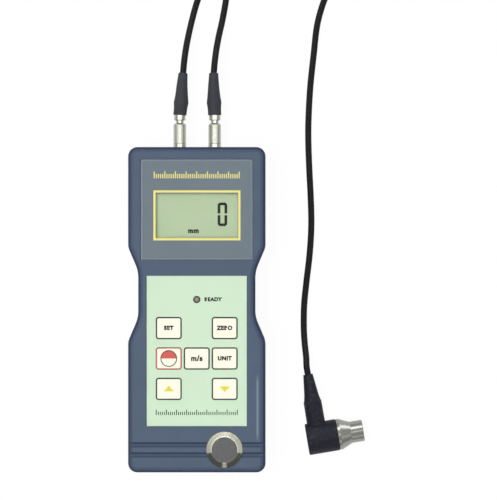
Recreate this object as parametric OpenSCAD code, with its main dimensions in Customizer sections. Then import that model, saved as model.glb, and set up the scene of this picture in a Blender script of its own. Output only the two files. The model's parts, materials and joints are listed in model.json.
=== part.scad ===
// Hand-held ultrasonic thickness gauge with its probe, lead set and test block.
// The gauge lies on its back: +Z leaves the front face, +Y points to the socket end,
// and the origin is the middle of the back. Millimetres.

/* [Case] */
// Length of the case from its foot to its socket end
case_length = 161; // [158:1:166]
// Width of the case across its head and its foot
case_width = 68; // [67:0.5:72]
// Width of the case at its waist
waist_width = 58; // [57:0.5:60]
// Depth of the case from its back to its front face
case_depth = 30; // [29.5:0.5:33]
// Height of the parting line above the back
parting_height = 15; // [14.8:0.1:16]
// Thickness of the side walls
side_wall = 2.2; // [2:0.1:2.4]
// Thickness of the front wall
front_wall = 2.8; // [2.6:0.1:3.2]
// Thickness of the back wall
back_wall = 2.4; // [2.3:0.1:2.8]
// Radius of the corners seen from the front
corner_radius = 4.6; // [4.2:0.1:5.5]
// Radius of the rounded front edge
front_radius = 3.5; // [2.5:0.1:3.8]
// Radius of the rounded back edge
back_radius = 4; // [3:0.1:4.2]
// Full-width length at the socket end
head_length = 48; // [46:0.5:50]
// Full-width length at the foot end
foot_length = 63.3; // [62:0.1:66]
// Slope of the shoulders between head, waist and foot
shoulder_angle = 23; // [20:1:26]
// Radius of the outer bend of a shoulder
shoulder_radius = 8; // [6:0.5:10]
// Radius of the hollow bend between a shoulder and the waist
waist_radius = 16; // [12:0.5:18]
// Width of the two cross grooves near the foot
groove_width = 2; // [1.5:0.1:2.5]
// Depth of the cross grooves
groove_depth = 0.6; // [0.4:0.1:0.9]

/* [Display] */
// Width of the display panel
panel_width = 55.2; // [54:0.1:55.4]
// Height of the display panel
panel_height = 49.5; // [48:0.5:50]
// Thickness of the display panel
panel_thickness = 1.5; // [1.2:0.1:1.6]
// Width of the window opening
window_width = 40.6; // [38:0.1:41]
// Height of the window opening
window_height = 22.1; // [20:0.1:23]

/* [Keypad] */
// Width of the keypad sheet
pad_width = 49.4; // [48:0.1:50]
// Height of the keypad sheet
pad_height = 74.2; // [72:0.1:75]
// Thickness of the keypad sheet
pad_thickness = 0.6; // [0.4:0.1:0.7]
// Width of a key
key_width = 12.4; // [11.5:0.1:12.8]
// Height of a key
key_height = 10.6; // [10:0.1:12]
// Distance between key columns
key_pitch_x = 13.8; // [13.6:0.1:14.2]
// Distance between key rows
key_pitch_y = 15; // [14:0.1:15.4]
// Travel of a key
key_travel = 0.4; // [0.3:0.05:0.45]
// Diameter of the lamp
lamp_diameter = 3; // [2.8:0.1:3.4]

/* [Test block] */
// Outside diameter of the test block
block_diameter = 17.8; // [16.5:0.1:18]
// Diameter of its flat face
block_face_diameter = 12.6; // [11:0.1:13]
// Height of its face above the front of the case
block_height = 2; // [1.6:0.1:2.4]

/* [Connectors] */
// Distance between the two sockets
socket_pitch = 17.4; // [16:0.1:19]
// Outside diameter of a plug sleeve
plug_diameter = 6.3; // [6:0.1:6.6]
// Travel of a plug's latch sleeve
latch_travel = 1.2; // [0.8:0.1:1.4]

/* [Battery] */
// Diameter of a cell
cell_diameter = 10.5; // [10:0.1:10.6]
// Length of a cell with its contact nub
cell_length = 44.5; // [43.5:0.1:44.6]

/* [Probe] */
// Diameter of the probe housing
housing_diameter = 15.8; // [15:0.1:16.6]
// Length of the probe housing
housing_length = 15.6; // [14.8:0.1:16.4]
// Diameter of the measuring end
tip_diameter = 10.8; // [10.4:0.1:11.4]
// Length of the metal case in front of the housing
nose_length = 12.9; // [12:0.1:14]
// Diameter of the leads and of the cable
cord_diameter = 3.2; // [2.8:0.1:3.4]

/* [Hidden] */
$fn = 48;
KEYS = [
    ["select", -1, 0],
    ["calibrate", 1, 0],
    ["power", -1, 1],
    ["velocity", 0, 1],
    ["units", 1, 1],
    ["up", -1, 2],
    ["down", 1, 2]
];

// Colours
case_blue = "#5b687a";
panel_grey = "#77858f";
mint = "#d3ebce";
cream = "#fffdea";
board_green = "#2f5d46";
nickel = "#c9c8c2";
rubber_black = "#2b2b2e";
housing_black = "#26262d";
steel = "#b9b8b0";

// Clearances and small sizes shared by several pieces
sheet_gap = 0.2;
key_gap = 0.25;
running_gap = 0.05;
overlap = 0.5;
corner_steps = 8;
shoulder_steps = 6;
edge_steps = 6;
seam_inset = 0.3;
seam_height = 0.35;
cap_margin = 0.05;
lip_inset = 1.2;
lip_height = 1.2;

// Places on the outline
half_w = case_width / 2;
waist_half = waist_width / 2;
top_y = case_length / 2;
foot_y = -case_length / 2;
bend_sum = shoulder_radius + waist_radius;
shoulder_run = (half_w - waist_half - bend_sum * (1 - cos(shoulder_angle))) / sin(shoulder_angle);
shoulder_length = bend_sum * sin(shoulder_angle) + shoulder_run * cos(shoulder_angle);
foot_shoulder_y = foot_y + foot_length;
waist_low_y = foot_shoulder_y + shoulder_length;
head_shoulder_y = top_y - head_length;
waist_high_y = head_shoulder_y - shoulder_length;

// Heights, from the front face inwards
ceiling_z = case_depth - front_wall;
panel_sink = 0.2;
panel_bevel = 0.7;
panel_floor_z = case_depth - panel_sink - panel_thickness;
pad_sink = 1;
pad_floor_z = case_depth - pad_sink;
pane_thickness = 1;
display_pad = 1;
display_pad_z = ceiling_z - display_pad;
lcd_thickness = 2.8;
lcd_sink = 0.2;
lcd_top_z = display_pad_z - lcd_sink;
lcd_bottom_z = lcd_top_z - lcd_thickness;
board_drop = 5.6;
board_top_z = ceiling_z - board_drop;
board_thickness = 1.6;
board_bottom_z = board_top_z - board_thickness;
switch_side = 6;
switch_height = 3.5;
switch_top_z = board_top_z + switch_height;
plunger_reach = 1.4;
plunger_depth = 1.5;
plunger_gap = 0.1;
plunger_top_z = switch_top_z + plunger_reach;
plunger_bottom_z = switch_top_z - plunger_depth;
key_stop_gap = 0.1;
key_bottom_z = pad_floor_z + key_travel + key_stop_gap;
key_thickness = 0.6;

// Places on the front, from the socket end down. The length that panel, keypad and test block
// leave over is shared out above the panel, under it, over the block and below the block.
gap_shares = [6.2, 8, 2.7, 2.6];
share_sum = gap_shares[0] + gap_shares[1] + gap_shares[2] + gap_shares[3];
spare_length = case_length - panel_height - pad_height - block_diameter;
function front_gap(i) = spare_length * gap_shares[i] / share_sum;
panel_top_y = top_y - front_gap(0);
panel_y = panel_top_y - panel_height / 2;
panel_bottom_y = panel_top_y - panel_height;
window_drop = 3.1;
window_y = panel_y - window_drop;
pad_top_y = panel_bottom_y - front_gap(1);
pad_y = pad_top_y - pad_height / 2;
lamp_drop = 11.7;
lamp_y = pad_top_y - lamp_drop;
lamp_gap = 0.15;
key_drop = 25.8;
key_row_y = pad_top_y - key_drop;
key_corner = 1.2;
stem_radius = 1.8;
stem_gap = 0.4;
stem_hole_radius = stem_radius + stem_gap;
plunger_radius = 1.75;
function key_x(k) = k[1] * key_pitch_x;
function key_y(k) = key_row_y - k[2] * key_pitch_y;

// Test block and grooves, from the foot up
block_x = 13.7;
block_y = foot_y + front_gap(3) + block_diameter / 2;
block_gap = 0.15;
block_rim = 0.3;
block_sink = 1;
block_shank_radius = 6;
groove_places = [foot_y + 8.8, foot_y + 13.8];

// Display cell and board
lcd_margin = [6.4, 7];
lcd_width = window_width + lcd_margin.x;
lcd_height = window_height + lcd_margin.y;
lcd_wall = 1.2;
lcd_gap = 0.3;
board_low_y = foot_y + 20.5;
board_high_y = top_y - 12.5;
board_boss_radius = 2.3;
board_screw_radius = 1;
board_screw_head = 1.9;
board_screw_head_height = 1.4;
board_screw_room = 0.4;
board_screw_depth = 4.4;
// Two bosses under the display holder, in the waist, and two near the foot of the board
holder_half = (lcd_width + lcd_gap) / 2 + lcd_wall;
holder_low_y = window_y - (lcd_height + lcd_gap) / 2 - lcd_wall;
holder_gap = 0.7;
boss_inset = [8, 10];
boss_rise = 8;
upper_boss = [waist_half - boss_inset[0], holder_low_y - holder_gap - board_boss_radius];
lower_boss = [half_w - boss_inset[1], board_low_y + boss_rise];
board_boss_places = [
    for (side = [-1, 1]) for (boss = [upper_boss, lower_boss]) [side * boss.x, boss.y]
];
chip_side = 14;
chip_height = 1.6;
chip_drop = 20;
coax_width = 4;
crystal_x = 13;
crystal_can = [4.5, 11, 3.5];
capacitor_x = -15;
capacitor_radius = 2.5;
capacitor_height = 4.6;
package_columns = [-3, 7];
package_size = [5, 4, 1.5];
part_rows = [6, -4];

// Case screws
boss_radius = 3.2;
boss_x = half_w - 5.8;
boss_y = top_y - 8.5;
boss_places = [for (x = [-boss_x, boss_x]) for (y = [-boss_y, boss_y]) [x, y]];
screw_radius = 1.3;
screw_head_radius = 2.3;
screw_head_height = 2;
screw_slot = 0.6;
screw_gap = 0.3;
screw_seat_z = 3.5;
screw_end_z = parting_height + 9;

// Battery bay and its sliding cover
cell_pitch = cell_diameter + 0.5;
cell_radius = cell_diameter / 2;
contact_thickness = 0.4;
spring_length = 4.6;
spring_wire = 0.6;
spring_radius = 3.4;
spring_taper = 1.1;
bay_half = (4 * cell_pitch + 0.6) / 2;
bay_wall = 1.2;
bay_foot_y = foot_y + 9.3;
bay_top_y = bay_foot_y + cell_length + spring_length + 2 * contact_thickness;
cover_thickness = 2;
cover_gap = 0.2;
cover_half = bay_half + 1.1;
cover_top_y = bay_top_y + bay_wall;
cell_z = cover_thickness + 0.3 + cell_radius;
bay_roof_z = cell_z + cell_radius + 0.3;
rail_half = cover_half + 2.8;
rail_top_z = cover_thickness + 2.2;
tongue_width = 1.2;
tongue_low_z = 0.9;
tongue_high_z = 1.9;
contact_low_z = cell_z - 4.2;
contact_high_z = cell_z + 4.2;
contact_width = 8;
tail_width = 2.4;
tail_gap = 0.4;
function cell_x(i) = (i - 1.5) * cell_pitch;

// Sockets and plugs, along +Y from the end of the case
socket_z = parting_height;
socket_body_radius = 2.8;
socket_flange_length = 2;
socket_bore_radius = 2.3;
socket_pin_radius = 0.45;
socket_tail_length = 11;
nut_thickness = 1.8;
nut_flat = 8;
nose_radius = socket_bore_radius - running_gap;
core_radius = 2;
sleeve_start = socket_flange_length + 0.1;
sleeve_end = 12.3;
sleeve_chamfer = 0.8;
latch_gap = 0.15;
collar_start = sleeve_end + latch_travel + latch_gap;
collar_length = 2.6;
collar_end = collar_start + collar_length;
collar_radius = 2.95;
stub_radius = 2.2;
stub_end = collar_end + 5.5;
boot_base_y = top_y + collar_end;
boot_radii = [3.3, 3.3, 3.4, 3.7, 3.3, 3, 2.75, 2.5, 2.3];
boot_sides = 20;

// Coax ends on the board for the two sockets
coax_y = board_high_y - 13;
coax_length = 5;
coax_height = 3;
coax_wire_radius = 0.7;
wire_gap = 0.15;
wire_lead = 1.5;

// Lead set: boots and leads bend with the cable and sink to the surface
cord_radius = cord_diameter / 2;
left_boot_route = [[0, 0, 0], [0.4, 4, 0], [0.85, 9, -0.05], [1.1, 15, -0.2], [1.6, 21, -0.6]];
right_boot_route = [[0, 0, 0], [-0.2, 4, 0], [-0.4, 9, -0.05], [-0.55, 15, -0.2], [-0.5, 21, -0.6]];
left_lead_route = [
    [-6.6, 123.5, 13.5], [-5.8, 130, 11], [-4.6, 137, 7.3], [-2.9, 145, 3.5],
    [-0.5, 154, 1.9], [2.4, 161.2, 1.8], [6.5, 167.4, 1.8], [11.6, 172.4, 1.9]
];
right_lead_route = [
    [8.7, 123.5, 13.5], [9.5, 130, 11], [10.7, 137, 7.3], [12.4, 145, 3.5],
    [14, 154, 1.9], [14.8, 160.6, 1.8], [16.1, 166.4, 1.8], [17.9, 171, 1.9]
];
yoke_place = [22.5, 179.5];
yoke_turn = 45;
yoke_length = 12;
yoke_radius = 2.2;
yoke_split = 1.9;
coil_place = [55, 183];
coil_turn_radius = 17.5;
coil_columns = 3;
coil_layers = 2;
coil_lift = 0.6;
coil_leave = -30;
coil_outer_turn = coil_turn_radius + cord_diameter;
tie_angle = 55;
tie_thickness = 0.45;
tie_gap = 0.15;
cable_route = [
    [69.4, 167, 4.2], [65.9, 160.3, 2.6], [62.7, 152.5, 1.9], [60, 142, 1.8], [58.4, 128, 1.8],
    [56.7, 112, 1.8], [55.8, 96, 1.8], [55.7, 84, 1.8], [56.2, 70, 1.8], [56.9, 56, 1.8],
    [57.2, 42, 1.8], [56.4, 28, 1.8], [54.8, 14, 1.8], [53.6, 2, 1.8], [53.4, -9, 2.2],
    [53.8, -17, 3.8], [54.5, -24, 6.2]
];

// Probe, with +X along its axis to the measuring end and +Y along its side neck
probe_place = [54.95, -65.55];
probe_turn = 9.5;
housing_radius = housing_diameter / 2;
probe_length = housing_length + nose_length;
housing_chamfer = 0.4;
neck_x = 5.8;
neck_end = 18.6;
neck_root_radius = 4.7;
neck_end_radius = 4.5;
probe_boot_end = 32.2;
probe_boot_radius = 4.3;
probe_boot_shoulder = 3;
probe_boot_shoulder_radius = 3.65;
probe_boot_tip_radius = 2.4;
boot_tail_radius = 2.5;
boot_tail_start = 12.4;
spigot_radius = 6;
spigot_start = housing_length - 4.2;
land_radius = housing_radius - 0.1;
land_length = 1.4;
cone_length = 5.2;
tip_radius = tip_diameter / 2;
tip_bore_radius = tip_radius - 0.8;
tip_bore_start = housing_length + 1.7;
delay_length = 6.6;
crystal_thickness = 0.5;
barrier_thickness = 0.8;
delay_radius = tip_bore_radius - running_gap;

// Points on an arc
function arc_points(middle, r, from, to, steps) = [
    for (i = [0 : steps])
        let (a = from + (to - from) * i / steps)
        [middle.x + r * cos(a), middle.y + r * sin(a)]
];

// Right side of the waisted outline, from the foot up, moved inwards by inset
function right_side(inset) =
    let (c = max(corner_radius, inset + 0.2))
    concat(
        arc_points([half_w - c, foot_y + c], c - inset, -90, 0, corner_steps),
        arc_points([half_w - shoulder_radius, foot_shoulder_y],
            shoulder_radius - inset, 0, shoulder_angle, shoulder_steps),
        arc_points([waist_half + waist_radius, waist_low_y],
            waist_radius + inset, 180 + shoulder_angle, 180, shoulder_steps),
        arc_points([waist_half + waist_radius, waist_high_y],
            waist_radius + inset, 180, 180 - shoulder_angle, shoulder_steps),
        arc_points([half_w - shoulder_radius, head_shoulder_y],
            shoulder_radius - inset, -shoulder_angle, 0, shoulder_steps),
        arc_points([half_w - c, top_y - c], c - inset, 0, 90, corner_steps)
    );

// Whole outline, counter-clockwise
function case_outline(inset) =
    let (r = right_side(inset))
    concat(r, [for (i = [len(r) - 1 : -1 : 0]) [-r[i].x, r[i].y]]);

// Levels of the two shells as [inset, height], with the rounded edge and the seam.
// They pass the flat ends a little, and case_form cuts each end as one plane.
front_levels = concat(
    [[2 * seam_inset, parting_height - seam_height], [0, parting_height + seam_height]],
    [for (i = [0 : edge_steps])
        let (a = 90 * i / edge_steps)
        [front_radius * (1 - cos(a)), case_depth + cap_margin - front_radius * (1 - sin(a))]]
);
rear_levels = concat(
    [for (i = [0 : edge_steps])
        let (a = 90 - 90 * i / edge_steps)
        [back_radius * (1 - cos(a)), back_radius * (1 - sin(a)) - cap_margin]],
    [[0, parting_height - seam_height], [2 * seam_inset, parting_height + seam_height]]
);

// Solid skinned through rings of points that all have the same count
module skin(rings) {
    count = len(rings[0]);
    last = len(rings) - 1;
    polyhedron(
        points = [for (r = rings) each r],
        faces = concat(
            [[for (i = [0 : count - 1]) i]],
            [for (k = [0 : last - 1]) for (i = [0 : count - 1])
                let (j = (i + 1) % count)
                each [
                    [k * count + i, (k + 1) * count + i, (k + 1) * count + j],
                    [k * count + i, (k + 1) * count + j, k * count + j]
                ]],
            [[for (i = [count - 1 : -1 : 0]) last * count + i]]
        )
    );
}

// Outer form of a shell, between its two flat ends
module case_form(levels, low, high) {
    intersection() {
        skin([for (l = levels) [for (p = case_outline(l[0])) [p.x, p.y, l[1]]]]);
        slab(case_width + 2, case_length + 2, low, high);
    }
}

// Straight prism of the outline
module case_prism(inset, low, high) {
    translate([0, 0, low])
        linear_extrude(high - low)
            polygon(case_outline(inset));
}

// Smooth route through hand-placed points
function route_point(p, i, t) =
    let (
        a = p[max(i - 1, 0)],
        b = p[i],
        c = p[i + 1],
        d = p[min(i + 2, len(p) - 1)],
        m = i == 0 ? c - b : (c - a) / 2,
        n = i == len(p) - 2 ? c - b : (d - b) / 2
    )
    (2 * t * t * t - 3 * t * t + 1) * b + (t * t * t - 2 * t * t + t) * m
        + (3 * t * t - 2 * t * t * t) * c + (t * t * t - t * t) * n;
function smooth_route(p, steps) = concat(
    [for (i = [0 : len(p) - 2]) for (k = [0 : steps - 1]) route_point(p, i, k / steps)],
    [p[len(p) - 1]]
);
function unit(v) = v / norm(v);
function heading(p, i) = unit(p[min(i + 1, len(p) - 1)] - p[max(i - 1, 0)]);
function ring_at(middle, along, r, sides) =
    let (side = unit(cross(along, [0, 0, 1])), up = cross(side, along))
    [for (k = [0 : sides - 1]) middle + r * (cos(360 * k / sides) * side + sin(360 * k / sides) * up)];

// Round tube along a route, with one radius or one for each ring
module tube(p, r, sides) {
    skin([for (i = [0 : len(p) - 1])
        ring_at(p[i], heading(p, i), is_list(r) ? r[i] : r, sides)]);
}

// Rounded rectangle around the origin
module rounded_plate(w, h, r) {
    square([w - 2 * r, h], center = true);
    square([w, h - 2 * r], center = true);
    for (x = [-1, 1])
        for (y = [-1, 1])
            translate([x * (w / 2 - r), y * (h / 2 - r)])
                circle(r);
}

// Box from its middle in X and Y and its two heights
module slab(w, h, low, high) {
    translate([-w / 2, -h / 2, low])
        cube([w, h, high - low]);
}

module pillar(place, r, low, high) {
    translate([place.x, place.y, low])
        cylinder(r = r, h = high - low);
}

// Places children on a connector's axis, with their +Z along +Y from the end of the case
module on_socket(side) {
    translate([side * socket_pitch / 2, top_y, socket_z])
        rotate([-90, 0, 0])
            children();
}

module on_probe() {
    translate([probe_place.x, probe_place.y, housing_radius])
        rotate([0, 0, probe_turn])
            children();
}

// Turned piece on the probe's axis
module probe_turned() {
    on_probe()
        rotate([0, 90, 0])
            rotate_extrude()
                children();
}

// Socket openings, half in each shell
module socket_holes() {
    for (side = [-1, 1])
        on_socket(side)
            translate([0, 0, -side_wall - 2])
                cylinder(r = socket_body_radius + running_gap, h = side_wall + 4);
}

module front_case() {
    color(case_blue)
        difference() {
            union() {
                difference() {
                    case_form(front_levels, parting_height, case_depth);
                    case_prism(side_wall, parting_height - 1, ceiling_z);
                    case_prism(lip_inset - 0.1, parting_height - 1, parting_height + lip_height + 0.1);
                }
                // Thicker wall behind the display panel
                translate([0, panel_y, 0])
                    slab(panel_width + 2, panel_height + 2, display_pad_z, ceiling_z + overlap);
                // Screw bosses for the rear case and for the board
                for (p = boss_places)
                    pillar(p, boss_radius, parting_height + 0.1, ceiling_z + overlap);
                for (p = board_boss_places)
                    pillar(p, board_boss_radius, board_top_z, ceiling_z + overlap);
            }
            // Panel recess, pane seat and display opening
            translate([0, panel_y, 0])
                slab(panel_width + 2 * sheet_gap, panel_height + 2 * sheet_gap,
                    panel_floor_z, case_depth + 1);
            translate([0, window_y, 0])
                slab(window_width + 3.4, window_height + 3.4, panel_floor_z - pane_thickness, case_depth + 1);
            translate([0, window_y, 0])
                slab(window_width + 1, window_height + 1, display_pad_z - 1, case_depth + 1);
            // Keypad recess, key stem holes and lamp hole
            translate([0, pad_y, 0])
                slab(pad_width + 2 * sheet_gap, pad_height + 2 * sheet_gap, pad_floor_z, case_depth + 1);
            for (k = KEYS)
                pillar([key_x(k), key_y(k)], stem_hole_radius, ceiling_z - 1, case_depth + 1);
            pillar([0, lamp_y], lamp_diameter / 2 + lamp_gap, ceiling_z - 1, case_depth + 1);
            // Test block seat
            pillar([block_x, block_y], block_diameter / 2 + block_gap,
                case_depth - block_sink, case_depth + 1);
            pillar([block_x, block_y], block_shank_radius + running_gap, ceiling_z - 1, case_depth + 1);
            // Cross grooves
            for (y = groove_places)
                translate([0, y, 0])
                    slab(case_width + 2, groove_width, case_depth - groove_depth, case_depth + 1);
            // Pilot holes
            for (p = boss_places)
                pillar(p, screw_radius + running_gap, parting_height - 1, screw_end_z + 0.5);
            for (p = board_boss_places)
                pillar(p, board_screw_radius + running_gap, board_top_z - 1,
                    board_top_z + board_screw_depth + board_screw_room);
            socket_holes();
        }
}

module rear_case() {
    color(case_blue)
        difference() {
            union() {
                difference() {
                    union() {
                        case_form(rear_levels, 0, parting_height);
                        // Locating lip that stands into the front case
                        case_prism(lip_inset, parting_height - 2, parting_height + lip_height);
                    }
                    case_prism(side_wall, back_wall, parting_height + lip_height + 1);
                }
                // Bay walls and roof
                translate([0, (bay_foot_y + bay_top_y) / 2, 0])
                    slab(2 * (bay_half + bay_wall), bay_top_y - bay_foot_y + 2 * bay_wall,
                        back_wall - overlap, bay_roof_z + bay_wall);
                // Thick rails that hold the cover
                translate([0, (foot_y + 1 + cover_top_y + 2) / 2, 0])
                    slab(2 * rail_half, cover_top_y + 2 - foot_y - 1, back_wall - overlap, rail_top_z);
                for (p = boss_places)
                    pillar(p, boss_radius, back_wall - overlap, parting_height);
            }
            // Room for the cells
            translate([0, (bay_foot_y + bay_top_y) / 2, 0])
                slab(2 * bay_half, bay_top_y - bay_foot_y, -1, bay_roof_z);
            // Way of the cover, open at the foot
            translate([0, (foot_y - 5 + cover_top_y + cover_gap) / 2, 0])
                slab(2 * (cover_half + cover_gap), cover_top_y + cover_gap - foot_y + 5,
                    -1, cover_thickness + cover_gap);
            translate([0, (foot_y - 5 + cover_top_y - 2 + cover_gap) / 2, 0])
                slab(2 * (cover_half + tongue_width + cover_gap), cover_top_y - 2 + cover_gap - foot_y + 5,
                    tongue_low_z - cover_gap, tongue_high_z + cover_gap);
            // Slots for the two contact tails
            for (i = [0, 3])
                translate([cell_x(i), bay_top_y - contact_thickness / 2, 0])
                    slab(tail_width + tail_gap, contact_thickness + tail_gap,
                        bay_roof_z - 1, bay_roof_z + bay_wall + 1);
            // Screw holes, sunk from the back
            for (p = boss_places) {
                pillar(p, screw_radius + screw_gap, -1, parting_height + 1);
                pillar(p, screw_head_radius + screw_gap, -1, screw_seat_z);
            }
            socket_holes();
        }
}

module battery_cover() {
    color(case_blue)
        difference() {
            union() {
                intersection() {
                    case_form(rear_levels, 0, parting_height);
                    translate([0, (foot_y - 5 + cover_top_y) / 2, 0])
                        slab(2 * cover_half, cover_top_y - foot_y + 5, -1, cover_thickness);
                }
                for (side = [-1, 1])
                    translate([side * (cover_half + tongue_width / 2 - 0.4),
                        (foot_y + 6 + cover_top_y - 2) / 2, 0])
                        slab(tongue_width + 0.8, cover_top_y - 2 - foot_y - 6, tongue_low_z, tongue_high_z);
            }
            // Thumb grip
            for (k = [0 : 4])
                translate([0, foot_y + 14 + 2.6 * k, 0])
                    slab(22 - 2 * k, 1.2, -1, 0.5);
        }
}

module display_panel() {
    bevel = panel_bevel;
    low = panel_floor_z;
    high = panel_floor_z + panel_thickness;
    w = panel_width / 2;
    h = panel_height / 2;
    color(panel_grey)
        difference() {
            intersection() {
                translate([0, panel_y + h, 0])
                    rotate([90, 0, 0])
                        linear_extrude(panel_height)
                            polygon([
                                [-w, low], [w, low], [w, high - bevel],
                                [w - bevel, high], [bevel - w, high], [-w, high - bevel]
                            ]);
                translate([-w, panel_y, 0])
                    rotate([90, 0, 90])
                        linear_extrude(panel_width)
                            polygon([
                                [-h, low], [h, low], [h, high - bevel],
                                [h - bevel, high], [bevel - h, high], [-h, high - bevel]
                            ]);
            }
            translate([0, window_y, 0])
                slab(window_width, window_height, low - 1, high + 1);
        }
}

module display_window() {
    color("#dfe9e6", 0.4)
        translate([0, window_y, 0])
            slab(window_width + 3.2, window_height + 3.2, panel_floor_z - pane_thickness, panel_floor_z);
}

module lcd_glass() {
    color("#b7cba6")
        translate([0, window_y, 0])
            slab(lcd_width, lcd_height, lcd_bottom_z, lcd_top_z);
}

module lcd_holder() {
    color("#e4e2da")
        translate([0, window_y, 0])
            difference() {
                slab(2 * holder_half, lcd_height + lcd_gap + 2 * lcd_wall, board_top_z, lcd_top_z - lcd_sink);
                slab(lcd_width + lcd_gap, lcd_height + lcd_gap, board_top_z - 1, lcd_top_z + 1);
            }
}

module lcd_strips() {
    color("#d96a86")
        for (side = [-1, 1])
            translate([0, window_y + side * (lcd_height / 2 - 1.6), 0])
                slab(lcd_width - 4, 2, board_top_z, lcd_bottom_z);
}

module keypad_overlay() {
    color(mint)
        translate([0, 0, pad_floor_z])
            linear_extrude(pad_thickness)
                difference() {
                    translate([0, pad_y])
                        square([pad_width, pad_height], center = true);
                    for (k = KEYS)
                        translate([key_x(k), key_y(k)])
                            rounded_plate(key_width + 2 * key_gap, key_height + 2 * key_gap,
                                key_corner + key_gap);
                    translate([0, lamp_y])
                        circle(lamp_diameter / 2 + lamp_gap);
                }
}

// A key cap and the stem under it
module key(k) {
    color(cream)
        translate([key_x(k), key_y(k), 0]) {
            translate([0, 0, key_bottom_z])
                linear_extrude(key_thickness)
                    rounded_plate(key_width, key_height, key_corner);
            translate([0, 0, plunger_top_z])
                cylinder(r = stem_radius, h = key_bottom_z + key_thickness / 2 - plunger_top_z);
        }
}

module plunger(k) {
    color("#3a3a3a")
        pillar([key_x(k), key_y(k)], plunger_radius, plunger_bottom_z, plunger_top_z);
}

module key_switches() {
    color("#1f1f22")
        for (k = KEYS)
            translate([key_x(k), key_y(k), 0])
                difference() {
                    slab(switch_side, switch_side, board_top_z, switch_top_z);
                    pillar([0, 0], plunger_radius + plunger_gap,
                        plunger_bottom_z - key_travel - 2 * plunger_gap, switch_top_z + 1);
                }
}

module coupling_lamp() {
    r = lamp_diameter / 2;
    foot_z = ceiling_z - 2.4;
    dome_z = case_depth - 0.1;
    color("#828b78")
        translate([0, lamp_y, 0]) {
            rotate_extrude()
                polygon(concat(
                    [[0, foot_z], [r + 0.4, foot_z], [r + 0.4, foot_z + 1], [r, foot_z + 1]],
                    arc_points([0, dome_z - r], r, 0, 75, 6),
                    [[0, dome_z]]
                ));
            for (side = [-1, 1])
                translate([side * 0.9, 0, 0])
                    slab(0.5, 0.5, board_top_z, foot_z + 0.3);
        }
}

module test_block() {
    rim = block_diameter / 2;
    face = block_face_diameter / 2;
    top = case_depth + block_height;
    color(steel)
        translate([block_x, block_y, 0])
            rotate_extrude()
                polygon([
                    [0, ceiling_z - 0.8], [block_shank_radius, ceiling_z - 0.8],
                    [block_shank_radius, case_depth - block_sink], [rim, case_depth - block_sink],
                    [rim, case_depth + block_rim], [face, top], [0, top]
                ]);
}

module main_board() {
    color(board_green)
        translate([0, 0, board_bottom_z])
            linear_extrude(board_thickness)
                difference() {
                    intersection() {
                        polygon(case_outline(side_wall + 1));
                        translate([-half_w, board_low_y])
                            square([case_width, board_high_y - board_low_y]);
                    }
                    for (p = board_boss_places)
                        translate(p)
                            circle(board_screw_radius + 0.2);
                }
}

module controller_chip() {
    color("#1c1c1e")
        translate([0, window_y - chip_drop, 0])
            slab(chip_side, chip_side, board_bottom_z - chip_height, board_bottom_z);
}

module board_parts() {
    color("#8c8a80") {
        // Coax ends for the socket wires
        for (side = [-1, 1])
            translate([side * socket_pitch / 2, coax_y + coax_length / 2, 0])
                slab(coax_width, coax_length, board_bottom_z - coax_height, board_bottom_z);
        // Crystal can, two electrolytic capacitors and four small packages
        translate([crystal_x, window_y - chip_drop, 0])
            slab(crystal_can.x, crystal_can.y, board_bottom_z - crystal_can.z, board_bottom_z);
        for (y = part_rows)
            pillar([capacitor_x, y], capacitor_radius, board_bottom_z - capacitor_height, board_bottom_z);
        for (x = package_columns)
            for (y = part_rows)
                translate([x, y, 0])
                    slab(package_size.x, package_size.y, board_bottom_z - package_size.z, board_bottom_z);
    }
}

// Pan-head screw that points up from its seat
module screw(place, r, head_r, head_h, seat, end) {
    difference() {
        union() {
            pillar(place, head_r, seat - head_h, seat);
            pillar(place, r, seat - head_h / 2, end);
        }
        translate([place.x, place.y, 0]) {
            slab(head_r * 1.2, screw_slot, seat - head_h - 1, seat - head_h / 2);
            slab(screw_slot, head_r * 1.2, seat - head_h - 1, seat - head_h / 2);
        }
    }
}

module board_screws() {
    color(nickel)
        for (p = board_boss_places)
            screw(p, board_screw_radius, board_screw_head, board_screw_head_height,
                board_bottom_z, board_top_z + board_screw_depth);
}

module case_screws() {
    color(nickel)
        for (p = boss_places)
            screw(p, screw_radius, screw_head_radius, screw_head_height, screw_seat_z, screw_end_z);
}

// A socket: flange, threaded body, bore with its contact pin, and solder tail
module socket(side) {
    flange_radius = plug_diameter / 2 + 0.1;
    color(nickel)
        on_socket(side)
            rotate_extrude()
                polygon([
                    [0, -socket_tail_length], [0.6, -socket_tail_length], [0.6, -9], [socket_body_radius, -9],
                    [socket_body_radius, 0], [flange_radius, 0], [flange_radius, socket_flange_length],
                    [socket_bore_radius, socket_flange_length], [socket_bore_radius, -7],
                    [socket_pin_radius, -7], [socket_pin_radius, -1.5], [0, -1.2]
                ]);
}

module socket_nuts() {
    color(nickel)
        for (side = [-1, 1])
            on_socket(side)
                translate([0, 0, -side_wall - nut_thickness])
                    difference() {
                        cylinder(d = nut_flat / cos(30), h = nut_thickness, $fn = 6);
                        translate([0, 0, -1])
                            cylinder(r = socket_body_radius + running_gap, h = nut_thickness + 2);
                    }
}

module socket_wires() {
    start_y = top_y - socket_tail_length - wire_gap;
    end_y = coax_y + coax_length + wire_gap;
    end_z = board_bottom_z - coax_height / 2;
    mid_y = (start_y + end_y) / 2;
    color("#2d2d30")
        for (side = [-1, 1])
            translate([side * socket_pitch / 2, 0, 0])
                tube(smooth_route([
                    [0, start_y, socket_z], [0, start_y - wire_lead, socket_z],
                    [0, mid_y, (socket_z + end_z) / 2],
                    [0, end_y + wire_lead, end_z], [0, end_y, end_z]
                ], 3), coax_wire_radius, 8);
}

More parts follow.
